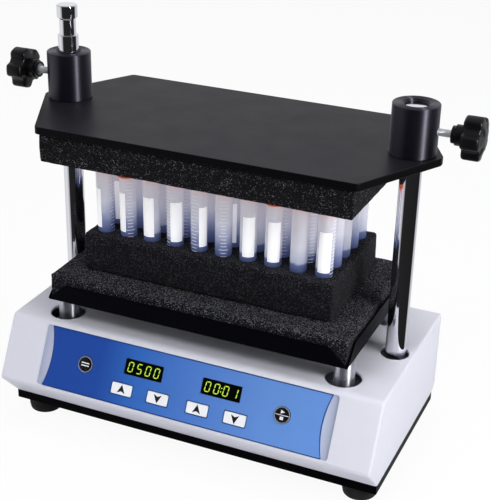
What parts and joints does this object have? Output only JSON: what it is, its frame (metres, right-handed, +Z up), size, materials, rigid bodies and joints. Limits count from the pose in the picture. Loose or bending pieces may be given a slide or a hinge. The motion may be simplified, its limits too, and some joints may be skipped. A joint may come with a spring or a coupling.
{
  "type": "multi-tube vortex mixer",
  "caption": "Bench vortex mixer: an orbiting platform on chrome posts shakes a foam rack of tubes, held down by a clamp plate that slides on two columns with lobed knobs.",
  "frame": {"origin": "on the table, under the middle of the housing", "axes": "+Z up, +X to the right of a person facing the control panel, -Y out of the panel"},
  "size_m": [0.524, 0.242, 0.4445],
  "materials": {
    "housing_paint": "satin, off-white with a cool tint",
    "black_paint": "satin powder coat",
    "plate_black": "satin black anodised",
    "black_anodised": "glossy black anodised",
    "rubber": "matte",
    "panel_blue": "printed membrane, darker at the left and lighter at the right",
    "display_glass": "smoked window",
    "key_white": "matte with a black arrow",
    "key_black": "gloss with a silver ring",
    "circuit_board": "solder mask",
    "bare_aluminium": "machined",
    "steel": "turned",
    "inlet_plastic": "moulded",
    "chrome": "polished",
    "foam": "coarse closed-cell foam",
    "tube_plastic": "translucent tube with an orange cap",
    "zinc": "zinc plated thread",
    "knob_plastic": "moulded"
  },
  "bodies": {
    "base": {"housing_shell": "housing_paint", "base_pan": "black_paint", "foot_front_left": "rubber", "foot_front_right": "rubber", "foot_rear_left": "rubber", "foot_rear_right": "rubber", "panel_overlay": "panel_blue", "speed_display": "display_glass", "time_display": "display_glass", "control_board": "circuit_board", "power_supply": "circuit_board", "motor_can": "bare_aluminium", "drive_deck": "steel", "power_inlet": "inlet_plastic"},
    "drive_crank": {"motor_rotor": "steel", "crank_hub": "steel"},
    "platform": {"crank_bearing": "steel", "orbit_plate": "bare_aluminium", "post_front_left": "chrome", "post_front_right": "chrome", "post_rear_left": "chrome", "post_rear_right": "chrome", "column_left": "chrome", "column_right": "chrome", "tray": "black_paint", "lower_foam_pad": "foam", "tube_rack": "foam", "sample_tube_01": "tube_plastic", "sample_tube_02": "tube_plastic", "sample_tube_03": "tube_plastic", "sample_tube_04": "tube_plastic", "sample_tube_05": "tube_plastic", "sample_tube_06": "tube_plastic", "sample_tube_07": "tube_plastic", "sample_tube_08": "tube_plastic", "sample_tube_09": "tube_plastic", "sample_tube_10": "tube_plastic", "sample_tube_11": "tube_plastic", "sample_tube_12": "tube_plastic", "sample_tube_13": "tube_plastic", "sample_tube_14": "tube_plastic"},
    "clamp": {"top_plate": "plate_black", "upper_foam_pad": "foam", "collar_left": "black_anodised", "collar_right": "black_anodised"},
    "stud_left": {"clamp_stud_left": "zinc"},
    "stud_right": {"clamp_stud_right": "zinc"},
    "knob_left": {"clamp_knob_left": "knob_plastic"},
    "knob_right": {"clamp_knob_right": "knob_plastic"},
    "idler_front_left": {"idler_front_left": "steel"},
    "idler_front_right": {"idler_front_right": "steel"},
    "idler_rear_left": {"idler_rear_left": "steel"},
    "idler_rear_right": {"idler_rear_right": "steel"},
    "speed_up_key": {"speed_up_key": "key_white"},
    "speed_down_key": {"speed_down_key": "key_white"},
    "time_up_key": {"time_up_key": "key_white"},
    "time_down_key": {"time_down_key": "key_white"},
    "mode_key": {"mode_key": "key_black"},
    "start_stop_key": {"start_stop_key": "key_black"},
    "rocker": {"power_rocker": "inlet_plastic"}
  },
  "joints": [
    {"name": "orbit_drive", "type": "hinge", "parent": "base", "child": "drive_crank", "pos_m": [0, 0.0102, 0.09], "axis": [0, 0, 1], "continuous": true},
    {"name": "platform_counter_turn", "type": "hinge", "parent": "drive_crank", "child": "platform", "pos_m": [0, 0.012, 0.104], "axis": [0, 0, 1], "continuous": true},
    {"name": "idler_front_left_turn", "type": "hinge", "parent": "base", "child": "idler_front_left", "pos_m": [-0.118, -0.0358, 0.08], "axis": [0, 0, 1], "continuous": true},
    {"name": "idler_front_right_turn", "type": "hinge", "parent": "base", "child": "idler_front_right", "pos_m": [0.118, -0.0358, 0.08], "axis": [0, 0, 1], "continuous": true},
    {"name": "idler_rear_left_turn", "type": "hinge", "parent": "base", "child": "idler_rear_left", "pos_m": [-0.118, 0.0562, 0.08], "axis": [0, 0, 1], "continuous": true},
    {"name": "idler_rear_right_turn", "type": "hinge", "parent": "base", "child": "idler_rear_right", "pos_m": [0.118, 0.0562, 0.08], "axis": [0, 0, 1], "continuous": true},
    {"name": "clamp_lift", "type": "slide", "parent": "platform", "child": "clamp", "axis": [0, 0, 1], "range_m": [0, 0.058]},
    {"name": "stud_left_travel", "type": "slide", "parent": "clamp", "child": "stud_left", "axis": [-1, 0, 0], "range_m": [0, 0.0025]},
    {"name": "knob_left_turn", "type": "hinge", "parent": "stud_left", "child": "knob_left", "pos_m": [-0.24, 0.012, 0.3692], "axis": [-1, 0, 0], "range_deg": [0, 725]},
    {"name": "stud_right_travel", "type": "slide", "parent": "clamp", "child": "stud_right", "axis": [1, 0, 0], "range_m": [0, 0.0025]},
    {"name": "knob_right_turn", "type": "hinge", "parent": "stud_right", "child": "knob_right", "pos_m": [0.24, 0.012, 0.3692], "axis": [1, 0, 0], "range_deg": [0, 725]},
    {"name": "speed_up_key_press", "type": "slide", "parent": "base", "child": "speed_up_key", "axis": [0, 0.8908, -0.4545], "range_m": [0, 0.0005], "stiffness_N_per_m": 4000, "springref_m": -0.0002},
    {"name": "speed_down_key_press", "type": "slide", "parent": "base", "child": "speed_down_key", "axis": [0, 0.8908, -0.4545], "range_m": [0, 0.0005], "stiffness_N_per_m": 4000, "springref_m": -0.0002},
    {"name": "time_up_key_press", "type": "slide", "parent": "base", "child": "time_up_key", "axis": [0, 0.8908, -0.4545], "range_m": [0, 0.0005], "stiffness_N_per_m": 4000, "springref_m": -0.0002},
    {"name": "time_down_key_press", "type": "slide", "parent": "base", "child": "time_down_key", "axis": [0, 0.8908, -0.4545], "range_m": [0, 0.0005], "stiffness_N_per_m": 4000, "springref_m": -0.0002},
    {"name": "mode_key_press", "type": "slide", "parent": "base", "child": "mode_key", "axis": [0, 0.8908, -0.4545], "range_m": [0, 0.0005], "stiffness_N_per_m": 4000, "springref_m": -0.0002},
    {"name": "start_stop_key_press", "type": "slide", "parent": "base", "child": "start_stop_key", "axis": [0, 0.8908, -0.4545], "range_m": [0, 0.0005], "stiffness_N_per_m": 4000, "springref_m": -0.0002},
    {"name": "power_rocker_tilt", "type": "hinge", "parent": "base", "child": "rocker", "pos_m": [-0.15, 0.1185, 0.0865], "axis": [-1, 0, 0], "range_deg": [0, 16]}
  ],
  "couplings": [
    {"joint": "platform_counter_turn", "follows": "orbit_drive", "ratio": -1},
    {"joint": "idler_front_left_turn", "follows": "orbit_drive", "ratio": 1},
    {"joint": "idler_front_right_turn", "follows": "orbit_drive", "ratio": 1},
    {"joint": "idler_rear_left_turn", "follows": "orbit_drive", "ratio": 1},
    {"joint": "idler_rear_right_turn", "follows": "orbit_drive", "ratio": 1},
    {"joint": "knob_left_turn", "follows": "stud_left_travel", "rad_per_m": 5026.5},
    {"joint": "knob_right_turn", "follows": "stud_right_travel", "rad_per_m": 5026.5}
  ]
}
